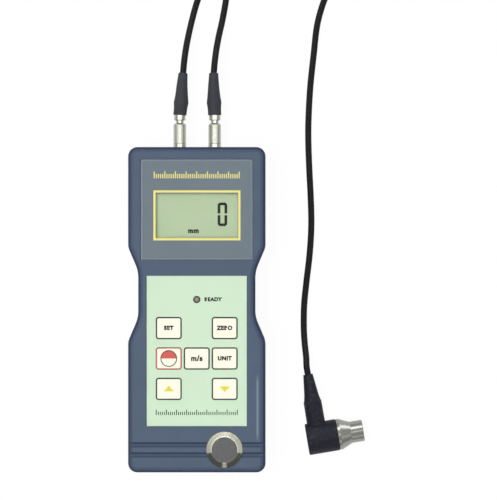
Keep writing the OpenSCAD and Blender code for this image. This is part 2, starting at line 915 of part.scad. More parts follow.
// A cell with its nub at +Y or at -Y
module battery(i) {
    up = i % 2 == 0 ? 1 : -1;
    nub_y = up > 0 ? bay_top_y - contact_thickness : bay_foot_y + contact_thickness;
    color(i % 2 == 0 ? "#3f6b4f" : "#44705a")
        translate([cell_x(i), nub_y, cell_z])
            rotate([up * 90, 0, 0])
                rotate_extrude()
                    polygon([
                        [0, 0], [1.9, 0], [1.9, 1.2], [cell_radius - 0.4, 1.2], [cell_radius, 1.6],
                        [cell_radius, cell_length - 0.4], [cell_radius - 0.4, cell_length], [0, cell_length]
                    ]);
}

// Tapered wire springs at the flat end of each cell
module battery_springs() {
    turns = 3.5;
    steps = 36;
    coil = [for (k = [0 : steps])
        let (t = k / steps, a = 360 * turns * t, r = spring_radius - spring_taper * t)
        [r * cos(a), r * sin(a), spring_wire / 2 + 0.05 + (spring_length - spring_wire - 0.1) * t]
    ];
    color(nickel)
        for (i = [0 : 3])
            translate([
                cell_x(i),
                i % 2 == 0 ? bay_foot_y + contact_thickness : bay_top_y - contact_thickness,
                cell_z
            ])
                rotate([i % 2 == 0 ? -90 : 90, 0, 0])
                    tube(coil, spring_wire / 2, 6);
}

module battery_contacts() {
    foot_mid_y = bay_foot_y + contact_thickness / 2;
    top_mid_y = bay_top_y - contact_thickness / 2;
    color(nickel) {
        for (i = [0.5, 2.5])
            translate([cell_x(i), foot_mid_y, 0])
                slab(contact_width + cell_pitch, contact_thickness, contact_low_z, contact_high_z);
        translate([cell_x(1.5), top_mid_y, 0])
            slab(contact_width + cell_pitch, contact_thickness, contact_low_z, contact_high_z);
        for (i = [0, 3])
            translate([cell_x(i), top_mid_y, 0]) {
                slab(contact_width, contact_thickness, contact_low_z, contact_high_z);
                slab(tail_width, contact_thickness, contact_high_z - 1, board_bottom_z);
            }
    }
}

// Plug core: nose in the socket, waist under the latch sleeve, collar and boot stub
module plug(side) {
    color(nickel)
        on_socket(side)
            rotate_extrude()
                polygon([
                    [0.6, -6], [nose_radius - 0.2, -6], [nose_radius, -5.8],
                    [nose_radius, socket_flange_length],
                    [core_radius, socket_flange_length], [core_radius, collar_start],
                    [collar_radius - 0.3, collar_start], [collar_radius, collar_start + 0.3],
                    [collar_radius, collar_end], [stub_radius, collar_end], [stub_radius, stub_end],
                    [0, stub_end], [0, -0.5], [0.6, -0.5]
                ]);
}

module latch_sleeve(side) {
    r = plug_diameter / 2;
    bore = core_radius + running_gap;
    color(steel)
        on_socket(side)
            rotate_extrude()
                polygon([
                    [bore, sleeve_start], [r - 0.15, sleeve_start], [r, sleeve_start + 0.15],
                    [r, sleeve_end - sleeve_chamfer], [r - sleeve_chamfer, sleeve_end], [bore, sleeve_end]
                ]);
}

// Rubber boot that bends with its lead, cut square on the plug's collar and bored for its stub
module boot(side, route) {
    start = [side * socket_pitch / 2, boot_base_y, socket_z];
    bore = stub_radius + running_gap;
    color("#434449")
        difference() {
            tube(smooth_route([for (p = route) start + p], 2), boot_radii, boot_sides);
            on_socket(side)
                rotate_extrude()
                    polygon([
                        [0, collar_start], [2 * plug_diameter, collar_start], [2 * plug_diameter, collar_end],
                        [bore, collar_end], [bore, stub_end + running_gap], [0, stub_end + running_gap]
                    ]);
        }
}

// A lead from the end of its boot to the yoke
module lead(side, boot_route, route) {
    start = [side * socket_pitch / 2, boot_base_y, socket_z] + boot_route[len(boot_route) - 1];
    ahead = [cos(yoke_turn), sin(yoke_turn), 0];
    end = [
        yoke_place.x + side * yoke_split * sin(yoke_turn),
        yoke_place.y - side * yoke_split * cos(yoke_turn),
        yoke_radius
    ];
    color("#2a2a2b")
        tube(smooth_route(concat([start], route, [end - 5 * ahead, end]), 2), cord_radius, 8);
}

module cable_yoke() {
    color(rubber_black)
        translate([yoke_place.x, yoke_place.y, yoke_radius])
            rotate([0, 0, yoke_turn])
                hull() {
                    for (side = [-1, 1])
                        translate([0, side * yoke_split, 0])
                            rotate([0, 90, 0])
                                cylinder(r = yoke_radius, h = 3, $fn = 24);
                    translate([yoke_length - 3, 0, 0])
                        rotate([0, 90, 0])
                            cylinder(r = yoke_radius, h = 3, $fn = 24);
                }
}

// Outline of the coiled length, and of the tie around it
module coil_section(grow) {
    w = coil_columns * cord_diameter + 2 * grow;
    h = coil_layers * cord_diameter + 2 * grow;
    translate([coil_turn_radius, coil_lift + coil_layers * cord_radius])
        rounded_plate(w, h, 1.2 + grow);
}

module cable_coil() {
    color("#2a2a2b")
        translate(coil_place)
            rotate_extrude()
                coil_section(0);
}

module cable_tie() {
    color("#1d1d1f")
        translate(coil_place)
            rotate([0, 0, tie_angle])
                rotate_extrude(angle = 12)
                    difference() {
                        coil_section(tie_gap + tie_thickness);
                        coil_section(tie_gap);
                    }
}

// Cable from the yoke into the coil, and from the coil to the probe
module probe_cable() {
    ahead = [cos(yoke_turn), sin(yoke_turn), 0];
    yoke_start = [yoke_place.x, yoke_place.y, yoke_radius];
    low_z = coil_lift + cord_radius;
    high_z = low_z + (coil_layers - 1) * cord_diameter;
    leave = [
        coil_place.x + coil_outer_turn * cos(coil_leave),
        coil_place.y + coil_outer_turn * sin(coil_leave),
        high_z
    ];
    a = probe_turn;
    boot_end = [
        probe_place.x + neck_x * cos(a) - probe_boot_end * sin(a),
        probe_place.y + neck_x * sin(a) + probe_boot_end * cos(a),
        housing_radius
    ];
    neck_way = [-sin(a), cos(a), 0];
    color("#2a2a2b") {
        tube(smooth_route([
            yoke_start + yoke_length * ahead,
            yoke_start + (yoke_length + 6) * ahead,
            yoke_start + (yoke_length + 12) * ahead
        ], 1), cord_radius, 8);
        tube(smooth_route(concat([leave], cable_route, [boot_end + 4 * neck_way, boot_end]), 2),
            cord_radius, 8);
    }
}

module probe_boot() {
    color("#3b3b40")
        on_probe()
            translate([neck_x, 0, 0])
                rotate([-90, 0, 0])
                    rotate_extrude()
                        polygon([
                            [0, boot_tail_start], [boot_tail_radius, boot_tail_start],
                            [boot_tail_radius, neck_end],
                            [probe_boot_radius, neck_end],
                            [probe_boot_shoulder_radius, neck_end + probe_boot_shoulder],
                            [probe_boot_tip_radius, probe_boot_end], [0, probe_boot_end]
                        ]);
}

module probe_housing() {
    r = housing_radius;
    color(housing_black)
        difference() {
            union() {
                probe_turned()
                    polygon([
                        [0, 0], [r - housing_chamfer, 0], [r, housing_chamfer],
                        [r, housing_length - housing_chamfer], [r - housing_chamfer, housing_length],
                        [0, housing_length]
                    ]);
                on_probe()
                    translate([neck_x, 0, 0])
                        rotate([-90, 0, 0])
                            cylinder(r1 = neck_root_radius, r2 = neck_end_radius, h = neck_end);
            }
            on_probe()
                translate([spigot_start - 0.2, 0, 0])
                    rotate([0, 90, 0])
                        cylinder(r = spigot_radius + running_gap, h = housing_length);
            on_probe()
                translate([neck_x, boot_tail_start - 0.2, 0])
                    rotate([-90, 0, 0])
                        cylinder(r = boot_tail_radius + running_gap, h = neck_end);
        }
}

module probe_case() {
    land_end = housing_length + land_length;
    color(steel)
        probe_turned()
            polygon([
                [1.5, spigot_start], [spigot_radius, spigot_start], [spigot_radius, housing_length],
                [land_radius - 0.2, housing_length], [land_radius, housing_length + 0.2],
                [land_radius, land_end], [tip_radius, land_end + cone_length],
                [tip_radius, probe_length - 0.3], [tip_radius - 0.3, probe_length],
                [tip_bore_radius, probe_length], [tip_bore_radius, tip_bore_start], [1.5, tip_bore_start]
            ]);
}

// Two half discs on the probe's axis, either side of a slot
module half_discs(r, low, high, slot) {
    on_probe()
        difference() {
            translate([low, 0, 0])
                rotate([0, 90, 0])
                    cylinder(r = r, h = high - low);
            translate([low - 1, -slot / 2, -r - 1])
                cube([high - low + 2, slot, 2 * r + 2]);
        }
}

module delay_lines() {
    color("#cfc6a4")
        half_discs(delay_radius, probe_length - delay_length, probe_length, barrier_thickness + 0.1);
}

module acoustic_barrier() {
    low = tip_bore_start + 0.6;
    color("#5a4632")
        on_probe()
            intersection() {
                translate([low, 0, 0])
                    rotate([0, 90, 0])
                        cylinder(r = delay_radius, h = probe_length - low);
                translate([low - 1, -barrier_thickness / 2, -tip_radius])
                    cube([probe_length, barrier_thickness, 2 * tip_radius]);
            }
}

module probe_crystals() {
    high = probe_length - delay_length;
    color("#b9a06a")
        half_discs(delay_radius - 0.2, high - crystal_thickness, high, barrier_thickness + 0.4);
}

module damping_block() {
    high = probe_length - delay_length - crystal_thickness;
    color("#4a4a4d")
        half_discs(delay_radius - 0.1, tip_bore_start + 0.1, high, barrier_thickness + 0.2);
}

front_case();
rear_case();
battery_cover();
display_panel();
display_window();
lcd_glass();
lcd_holder();
lcd_strips();
keypad_overlay();
for (k = KEYS) {
    key(k);
    plunger(k);
}
key_switches();
coupling_lamp();
test_block();
main_board();
controller_chip();
board_parts();
board_screws();
socket(-1);  // left_socket
socket(1);  // right_socket
socket_nuts();
socket_wires();
for (i = [0 : 3]) {
    battery(i);
}
battery_springs();
battery_contacts();
case_screws();
plug(-1);  // left_plug
plug(1);  // right_plug
latch_sleeve(-1);  // left_latch_sleeve
latch_sleeve(1);  // right_latch_sleeve
boot(-1, left_boot_route);  // left_boot
boot(1, right_boot_route);  // right_boot
lead(-1, left_boot_route, left_lead_route);  // left_lead
lead(1, right_boot_route, right_lead_route);  // right_lead
cable_yoke();
cable_coil();
cable_tie();
probe_cable();
probe_boot();
probe_housing();
probe_case();
delay_lines();
acoustic_barrier();
probe_crystals();
damping_block();
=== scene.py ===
# Looks of a hand-held ultrasonic thickness gauge with its probe, leads and test block.
# Sizes below are in millimetres and are turned to metres where a piece is made.
import json
import math

import bpy
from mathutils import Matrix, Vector


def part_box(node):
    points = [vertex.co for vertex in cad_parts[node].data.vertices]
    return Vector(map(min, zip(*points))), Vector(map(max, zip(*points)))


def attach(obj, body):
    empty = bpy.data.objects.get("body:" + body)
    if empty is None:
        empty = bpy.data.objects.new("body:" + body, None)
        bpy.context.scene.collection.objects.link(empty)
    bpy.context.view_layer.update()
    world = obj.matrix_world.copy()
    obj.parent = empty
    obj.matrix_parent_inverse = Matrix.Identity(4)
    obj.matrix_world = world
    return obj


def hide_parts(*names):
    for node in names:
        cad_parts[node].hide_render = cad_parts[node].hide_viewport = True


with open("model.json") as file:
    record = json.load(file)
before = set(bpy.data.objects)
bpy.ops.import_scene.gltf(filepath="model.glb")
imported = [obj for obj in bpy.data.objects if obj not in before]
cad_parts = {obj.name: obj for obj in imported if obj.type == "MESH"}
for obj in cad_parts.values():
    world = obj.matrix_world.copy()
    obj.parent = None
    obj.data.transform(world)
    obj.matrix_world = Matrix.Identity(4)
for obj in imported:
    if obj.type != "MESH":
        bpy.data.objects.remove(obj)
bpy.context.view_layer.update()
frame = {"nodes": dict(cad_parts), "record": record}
nodes = frame["nodes"]
body_of_node = {n: body for body, members in frame["record"]["behaviour"]["bodies"].items() for n in members}

MM = 0.001
KEYS = ["select", "calibrate", "power", "velocity", "units", "up", "down"]
BATTERIES = ["battery_1", "battery_2", "battery_3", "battery_4"]


def middle(node):
    """Middle of a CAD node's box, in millimetres."""
    low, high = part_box(node)
    return (low + high) / 2 / MM


def top(node):
    """Height of a CAD node's highest point, in millimetres."""
    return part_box(node)[1].z / MM


# Places of the CAD nodes that print and finish follow
WINDOW = middle("display_window")
LAMP = middle("coupling_lamp")
BLOCK = middle("test_block")
CASE_TOP = top("front_case")
PANEL_TOP = top("display_panel")
PAD_TOP = top("keypad_overlay")
LCD_TOP = top("lcd_glass")
BLOCK_FACE_RADIUS = 6.3
SOCKET_X = 8.7
SOCKET_Z = 15
GRIP_RIBS = 32
PROBE_TURN = math.radians(9.5)

# How far below the case's top its front and its grooves reach, and the grooves' middles
FRONT_DEPTH = 0.7
GROOVES = [-71.7, -66.7]

# The dark lines of a groove, painted shade: start and end from its middle, and tint
GROOVE_SHADE_LINES = [(0.6, 1.3, "#36425a"), (-1.1, -0.7, "#424e65")]

# Where the painted highlight line starts and ends, across and along the front
GLINT_ACROSS = (29.75, 30.2)
GLINT_ALONG = (-60.8, -36)

# Sizes of patterns that several materials share
CLOUD_MM = 14
HAZE_MM = 1.6
TOOL_MARK = 0.02


# Materials

# A Mix node's sockets share their names, so they are taken by number
MIX_SHARE, VALUE_A, VALUE_B, COLOUR_A, COLOUR_B = 0, 2, 3, 6, 7
VALUE_OUT, COLOUR_OUT = 0, 2


def linear(code):
    """An sRGB hex colour as linear red, green, blue and alpha."""
    channels = [int(code[i:i + 2], 16) / 255 for i in (1, 3, 5)]
    return [c / 12.92 if c <= 0.04045 else ((c + 0.055) / 1.055) ** 2.4 for c in channels] + [1.0]


def add(tree, kind, inputs=None, **settings):
    """Adds a node; an input is a value for its socket or an output to link to it."""
    node = tree.nodes.new(kind)
    for name, value in settings.items():
        setattr(node, name, value)
    for name, value in (inputs or {}).items():
        if isinstance(value, bpy.types.NodeSocket):
            tree.links.new(value, node.inputs[name])
        else:
            node.inputs[name].default_value = value
    return node


def new_material(name, **sockets):
    """A material with its shader's constant sockets set; returns it, its tree and its shader."""
    material = bpy.data.materials.new(name)
    material.use_nodes = True
    tree = material.node_tree
    shader = tree.nodes["Principled BSDF"]
    for socket, value in sockets.items():
        shader.inputs[socket.replace("_", " ")].default_value = value
    return material, tree, shader


def per_mm(size):
    """Noise scale whose features are about size millimetres."""
    return 1 / (size * MM)


def surface(tree, shader, tint, grain_mm, bump, rough):
    """Mottles a colour between two tints, and gives a grained bump and roughness."""
    place = add(tree, "ShaderNodeTexCoord").outputs["Object"]
    cloud = add(tree, "ShaderNodeTexNoise", {"Vector": place, "Scale": per_mm(CLOUD_MM), "Detail": 2.0})
    grain = add(tree, "ShaderNodeTexNoise", {"Vector": place, "Scale": per_mm(grain_mm), "Detail": 3.0})
    colour = add(tree, "ShaderNodeMix", {
        MIX_SHARE: cloud.outputs["Fac"], COLOUR_A: linear(tint[0]), COLOUR_B: linear(tint[1])}, data_type="RGBA")
    tree.links.new(colour.outputs[COLOUR_OUT], shader.inputs["Base Color"])
    gloss = add(tree, "ShaderNodeMapRange", {
        "Value": grain.outputs["Fac"], "To Min": rough[0], "To Max": rough[1]})
    tree.links.new(gloss.outputs["Result"], shader.inputs["Roughness"])
    relief = add(tree, "ShaderNodeBump", {
        "Height": grain.outputs["Fac"], "Strength": bump, "Distance": 0.15 * grain_mm * MM})
    tree.links.new(relief.outputs["Normal"], shader.inputs["Normal"])
    return place


def band(tree, value, low, high, soft, within=None):
    """1 where a value lies between two limits, fading to 0 over a soft margin; within is a share it keeps to."""
    rise = add(tree, "ShaderNodeMapRange", {"Value": value, "From Min": low - soft, "From Max": low})
    fall = add(tree, "ShaderNodeMapRange", {"Value": value, "From Min": high + soft, "From Max": high})
    share = rise.outputs["Result"]
    for other in (fall.outputs["Result"], within):
        if other is not None:
            share = add(tree, "ShaderNodeMath", {0: share, 1: other}, operation="MULTIPLY").outputs["Value"]
    return share


def facing_height(tree):
    """How far the surface faces up or down: 1 on a level face, 0 on an upright wall."""
    facing = add(tree, "ShaderNodeSeparateXYZ", {"Vector": add(tree, "ShaderNodeTexCoord").outputs["Normal"]})
    return add(tree, "ShaderNodeMath", {0: facing.outputs["Z"]}, operation="ABSOLUTE").outputs["Value"]


def tint_over(tree, shader, share, tint):
    """Lays another tint over the shader's colour, by a share from 0 to 1."""
    below = shader.inputs["Base Color"].links[0].from_socket
    colour = add(tree, "ShaderNodeMix", {
        MIX_SHARE: share, COLOUR_A: below, COLOUR_B: linear(tint)}, data_type="RGBA")
    tree.links.new(colour.outputs[COLOUR_OUT], shader.inputs["Base Color"])


def moulded_abs():
    """Moulded ABS from a spark-eroded tool: a fine sandy grain, with painted shade on the rounded rims.

    Painted shade darkens the two grooves and lines along their edges, and a painted highlight lies as a paler
    line along the lower right of the front.
    """
    material, tree, shader = new_material("moulded_abs", IOR=1.52, Specular_IOR_Level=0.12)
    # Drawn coarser than a tool's real grain of about 0.1 mm, which is too fine to show
    place = surface(tree, shader, ("#526074", "#59677b"), 0.55, 0.35, (0.5, 0.7))
    slope = facing_height(tree)
    # Painted shade: the rounded rims, tilted away from level, are tinted darker
    steep = add(tree, "ShaderNodeMapRange", {"Value": slope, "From Min": 0.99, "From Max": 0.72})
    painted_rim_shade = band(tree, slope, 0.12, 1.0, 0.08, within=steep.outputs["Result"])
    tint_over(tree, shader, painted_rim_shade, "#343f57")
    parts = add(tree, "ShaderNodeSeparateXYZ", {"Vector": place})
    across, along, height = (parts.outputs[axis] for axis in "XYZ")
    front_low = (CASE_TOP - FRONT_DEPTH) * MM
    # Painted shade: the band just below the front, on groove floors and recess walls, is tinted darker
    painted_groove_shade = band(tree, height, front_low, (CASE_TOP - 0.4) * MM, 0.2 * MM)
    tint_over(tree, shader, painted_groove_shade, "#4b586f")
    front = band(tree, height, front_low, CASE_TOP * MM, 0.1 * MM)
    # Painted shade: a dark line along each groove's upper and lower edge
    for groove in GROOVES:
        for start, end, tint in GROOVE_SHADE_LINES:
            line = band(tree, along, (groove + start) * MM, (groove + end) * MM, 0.25 * MM, within=front)
            tint_over(tree, shader, line, tint)
    # Painted highlight: a paler line along the lower right of the front, where the rim begins
    painted_glint = band(tree, along, *(c * MM for c in GLINT_ALONG), 4.5 * MM, within=front)
    painted_glint = band(tree, across, *(c * MM for c in GLINT_ACROSS), 0.55 * MM, within=painted_glint)
    tint_over(tree, shader, painted_glint, "#7b8998")
    return material


def panel_polycarbonate():
    """Back-printed polycarbonate plate: satin, faintly pebbled face, and a painted highlight on the bevel where
    it was cut.
    """
    material, tree, shader = new_material("panel_polycarbonate", IOR=1.58, Specular_IOR_Level=0.2)
    surface(tree, shader, ("#6a7883", "#707d86"), 0.4, 0.15, (0.4, 0.52))
    # Painted highlight: faces that tilt from level, the cut bevel and edges, are paler
    tint_over(tree, shader, band(tree, facing_height(tree), 0.0, 0.8, 0.15), "#a0adb6")
    return material


def keypad_polyester():
    """Printed polyester film: pale mint ink under a velvet-textured face."""
    material, tree, shader = new_material("keypad_polyester", IOR=1.6, Specular_IOR_Level=0.3)
    surface(tree, shader, ("#d0e9cb", "#d6eed1"), 0.35, 0.12, (0.45, 0.6))
    return material


def key_polyester():
    """The film of the key fields, printed cream."""
    material, tree, shader = new_material("key_polyester", IOR=1.6, Specular_IOR_Level=0.3)
    surface(tree, shader, ("#fdfbe6", "#fffdec"), 0.35, 0.12, (0.42, 0.55))
    return material


def print_ink(name, tint, deeper, gloss=0.2):
    """Screen-printed ink: flat and matt, with a slightly uneven film."""
    material, tree, shader = new_material(name, IOR=1.5, Specular_IOR_Level=gloss)
    surface(tree, shader, (tint, deeper), 0.25, 0.1, (0.5, 0.65))
    return material


def acrylic_pane():
    """Clear acrylic: almost all of what lies under it shows, with a faint, slightly hazed sheen."""
    material, tree, shader = new_material(
        "acrylic_pane", IOR=1.49, Alpha=0.02, Specular_IOR_Level=0.1, Base_Color=linear("#eef4f0"))
    place = add(tree, "ShaderNodeTexCoord").outputs["Object"]
    haze = add(tree, "ShaderNodeTexNoise", {"Vector": place, "Scale": per_mm(6), "Detail": 4.0})
    gloss = add(tree, "ShaderNodeMapRange", {"Value": haze.outputs["Fac"], "To Min": 0.04, "To Max": 0.09})
    tree.links.new(gloss.outputs["Result"], shader.inputs["Roughness"])
    return material


def lcd_cell():
    """Reflective display cell: grey-green polariser over a silvery, finely grained back."""
    material, tree, shader = new_material("lcd_cell", IOR=1.5, Specular_IOR_Level=0.2)
    surface(tree, shader, ("#b6cb9f", "#bed3ab"), 0.3, 0.05, (0.3, 0.4))
    return material


def lamp_epoxy():
    """Diffused epoxy of an unlit lamp: milky warm grey with a soft glint."""
    material, tree, shader = new_material("lamp_epoxy", IOR=1.53, Subsurface_Weight=0.2)
    surface(tree, shader, ("#8d8879", "#9b9584"), 0.5, 0.05, (0.25, 0.35))
    return material


def radius_from(tree, place, axis_place, axes):
    """Distance from an axis through axis_place, over the two named axes, in metres."""
    shifted = add(tree, "ShaderNodeMapping", {"Vector": place, "Location": [-c * MM for c in axis_place]})
    flat = add(tree, "ShaderNodeMapping", {"Vector": shifted.outputs["Vector"], "Scale": axes})
    return add(tree, "ShaderNodeVectorMath", {0: flat.outputs["Vector"]}, operation="LENGTH").outputs["Value"]


def block_steel():
    """Stainless test block: a polished turned cone around a ground face, dull and blotched from use."""
    material, tree, shader = new_material("block_steel", Metallic=1.0)
    place = add(tree, "ShaderNodeTexCoord").outputs["Object"]
    radius = radius_from(tree, place, BLOCK, (1, 1, 0))
    on_cone = add(tree, "ShaderNodeMapRange", {
        "Value": radius, "From Min": (BLOCK_FACE_RADIUS - 0.05) * MM,
        "From Max": (BLOCK_FACE_RADIUS + 0.05) * MM}).outputs["Result"]
    blotch = add(tree, "ShaderNodeTexNoise", {
        "Vector": place, "Scale": per_mm(1.1), "Detail": 5.0, "Roughness": 0.65})
    face = add(tree, "ShaderNodeMix", {
        MIX_SHARE: blotch.outputs["Fac"], COLOUR_A: linear("#56565a"), COLOUR_B: linear("#7e7e7e")},
        data_type="RGBA")
    colour = add(tree, "ShaderNodeMix", {
        MIX_SHARE: on_cone, COLOUR_A: face.outputs[COLOUR_OUT], COLOUR_B: linear("#dbdac6")}, data_type="RGBA")
    tree.links.new(colour.outputs[COLOUR_OUT], shader.inputs["Base Color"])
    # Painted highlight: a bright ring on the cone just outside the ground face
    painted_edge_highlight = band(
        tree, radius, (BLOCK_FACE_RADIUS + 0.1) * MM, (BLOCK_FACE_RADIUS + 0.5) * MM, 0.15 * MM)
    tint_over(tree, shader, painted_edge_highlight, "#fdfcf2")
    gloss = add(tree, "ShaderNodeMapRange", {"Value": on_cone, "To Min": 0.6, "To Max": 0.12})
    tree.links.new(gloss.outputs["Result"], shader.inputs["Roughness"])
    turns = add(tree, "ShaderNodeMath", {0: radius, 1: math.tau * per_mm(0.25)}, operation="MULTIPLY")
    wave = add(tree, "ShaderNodeMath", {0: turns.outputs["Value"]}, operation="SINE")
    relief = add(tree, "ShaderNodeBump", {
        "Height": wave.outputs["Value"], "Strength": 0.06, "Distance": TOOL_MARK * MM})
    tree.links.new(relief.outputs["Normal"], shader.inputs["Normal"])
    return material


def bright_nickel(name, tint, rough):
    """Bright nickel on turned brass: warm and mirror-like, under a haze from handling."""
    material, tree, shader = new_material(name, Metallic=1.0, Base_Color=linear(tint))
    place = add(tree, "ShaderNodeTexCoord").outputs["Object"]
    haze = add(tree, "ShaderNodeTexNoise", {"Vector": place, "Scale": per_mm(HAZE_MM), "Detail": 4.0})
    gloss = add(tree, "ShaderNodeMapRange", {
        "Value": haze.outputs["Fac"], "To Min": rough[0], "To Max": rough[1]})
    tree.links.new(gloss.outputs["Result"], shader.inputs["Roughness"])
    return material, tree, shader, place


def nickel_plate():
    """Bright nickel with the turned brass's fine tool rings showing through."""
    material, tree, shader, place = bright_nickel("nickel_plate", "#c4c4ba", (0.1, 0.22))
    rings = add(tree, "ShaderNodeTexWave", {
        "Vector": place, "Scale": per_mm(0.5) / math.tau, "Distortion": 0.3}, bands_direction="Y")
    relief = add(tree, "ShaderNodeBump", {
        "Height": rings.outputs["Fac"], "Strength": 0.08, "Distance": TOOL_MARK * MM})
    tree.links.new(relief.outputs["Normal"], shader.inputs["Normal"])
    return material


def grip_nickel():
    """Bright nickel over a fine straight grip, whose ribs break up its reflections."""
    material, tree, shader, place = bright_nickel("grip_nickel", "#bfc0b6", (0.12, 0.24))
    parts = add(tree, "ShaderNodeSeparateXYZ", {"Vector": place})
    outward = add(tree, "ShaderNodeMath", {0: parts.outputs["X"]}, operation="ABSOLUTE")
    aside = add(tree, "ShaderNodeMath", {0: outward.outputs["Value"], 1: SOCKET_X * MM}, operation="SUBTRACT")
    above = add(tree, "ShaderNodeMath", {0: parts.outputs["Z"], 1: SOCKET_Z * MM}, operation="SUBTRACT")
    turn = add(tree, "ShaderNodeMath", {
        0: above.outputs["Value"], 1: aside.outputs["Value"]}, operation="ARCTAN2")
    around = add(tree, "ShaderNodeMath", {0: turn.outputs["Value"], 1: GRIP_RIBS}, operation="MULTIPLY")
    ribs = add(tree, "ShaderNodeMath", {0: around.outputs["Value"]}, operation="SINE")
    relief = add(tree, "ShaderNodeBump", {
        "Height": ribs.outputs["Value"], "Strength": 0.4, "Distance": 0.05 * MM})
    tree.links.new(relief.outputs["Normal"], shader.inputs["Normal"])
    return material


def turned_stainless():
    """Turned and blasted stainless steel: a satin that scatters half the light, with fine rings around it."""
    material, tree, shader = new_material("turned_stainless", Metallic=0.55, Specular_IOR_Level=0.2)
    place = add(tree, "ShaderNodeTexCoord").outputs["Object"]
    along = add(tree, "ShaderNodeMapping", {"Vector": place, "Rotation": (0, 0, -PROBE_TURN)})
    streak = add(tree, "ShaderNodeMapping", {"Vector": along.outputs["Vector"], "Scale": (8, 1, 1)})
    grain = add(tree, "ShaderNodeTexNoise", {
        "Vector": streak.outputs["Vector"], "Scale": per_mm(2.2), "Detail": 4.0})
    colour = add(tree, "ShaderNodeMix", {
        MIX_SHARE: grain.outputs["Fac"], COLOUR_A: linear("#9a9a95"), COLOUR_B: linear("#a0a09a")},
        data_type="RGBA")
    tree.links.new(colour.outputs[COLOUR_OUT], shader.inputs["Base Color"])
    gloss = add(tree, "ShaderNodeMapRange", {"Value": grain.outputs["Fac"], "To Min": 0.15, "To Max": 0.2})
    tree.links.new(gloss.outputs["Result"], shader.inputs["Roughness"])
    rings = add(tree, "ShaderNodeTexWave", {
        "Vector": along.outputs["Vector"], "Scale": per_mm(0.4) / math.tau}, bands_direction="X")
    relief = add(tree, "ShaderNodeBump", {
        "Height": rings.outputs["Fac"], "Strength": 0.06, "Distance": TOOL_MARK * MM})
    tree.links.new(relief.outputs["Normal"], shader.inputs["Normal"])
    return material


def soft_rubber(name, tint, lighter, rough, scuff=None):
    """Moulded PVC or rubber: near black with a soft sheen and a fine skin, and paler scuffs if it has any."""
    material, tree, shader = new_material(name, IOR=1.52, Specular_IOR_Level=0.12)
    place = surface(tree, shader, (tint, lighter), 0.4, 0.2, rough)
    if scuff:
        marks = add(tree, "ShaderNodeTexNoise", {
            "Vector": place, "Scale": per_mm(2.5), "Detail": 5.0, "Roughness": 0.7})
        tint_over(tree, shader, band(tree, marks.outputs["Fac"], 0.64, 1.0, 0.12), scuff)
    return material


def plain_metal(name, tint, brighter, rough):
    """Plated or drawn metal inside the case, with slight tarnish."""
    material, tree, shader = new_material(name, Metallic=1.0)
    surface(tree, shader, (tint, brighter), 0.8, 0.08, rough)
    return material


def plain_plastic(name, tint, lighter, grain_mm, rough):
    """Moulded or coated plastic inside the case."""
    material, tree, shader = new_material(name, IOR=1.5)
    surface(tree, shader, (tint, lighter), grain_mm, 0.12, rough)
    return material


abs_blue = moulded_abs()
film_grey = panel_polycarbonate()
film_mint = keypad_polyester()
film_cream = key_polyester()
yellow_ink = print_ink("yellow_ink", "#f3e884", "#f6ec91")
sign_ink = print_ink("sign_yellow_ink", "#ecda3c", "#f2e350")
line_ink = print_ink("line_ink", "#263220", "#2e3a28", gloss=0.05)
legend_ink = print_ink("legend_ink", "#0c120e", "#121913", gloss=0.05)
red_ink = print_ink("red_ink", "#d85c52", "#e0695e")
segment_ink = print_ink("segment_dye", "#0a110c", "#0f1711", gloss=0.02)
pane = acrylic_pane()
cell = lcd_cell()
epoxy = lamp_epoxy()
steel_block = block_steel()
nickel = nickel_plate()
gripped_nickel = grip_nickel()
stainless = turned_stainless()
boot_rubber = soft_rubber("boot_rubber", "#3b3c42", "#424349", (0.5, 0.65))
cord_pvc = soft_rubber("cord_pvc", "#17171a", "#1d1d20", (0.42, 0.55))
probe_nylon = soft_rubber("probe_nylon", "#1f1f28", "#25252e", (0.45, 0.58), scuff="#32323c")
spring_steel = plain_metal("spring_steel", "#b5b4ae", "#cbcac4", (0.22, 0.36))
can_metal = plain_metal("can_metal", "#86857c", "#98968c", (0.35, 0.5))
solder_mask = plain_plastic("solder_mask", "#2b5841", "#34664c", 0.5, (0.25, 0.4))
black_epoxy = plain_plastic("black_epoxy", "#1b1b1e", "#242427", 0.3, (0.5, 0.65))
white_abs = plain_plastic("white_abs", "#dedcd3", "#e8e6de", 0.6, (0.4, 0.55))
strip_rubber = plain_plastic("strip_rubber", "#cf6280", "#dc7490", 0.4, (0.55, 0.7))
delay_resin = plain_plastic("delay_resin", "#c5bc98", "#d3caa8", 0.5, (0.2, 0.35))
crystal_ceramic = plain_plastic("crystal_ceramic", "#b0965f", "#bda46e", 0.4, (0.3, 0.45))
cell_sleeve = plain_plastic("cell_sleeve", "#3d6a50", "#487659", 0.7, (0.22, 0.34))

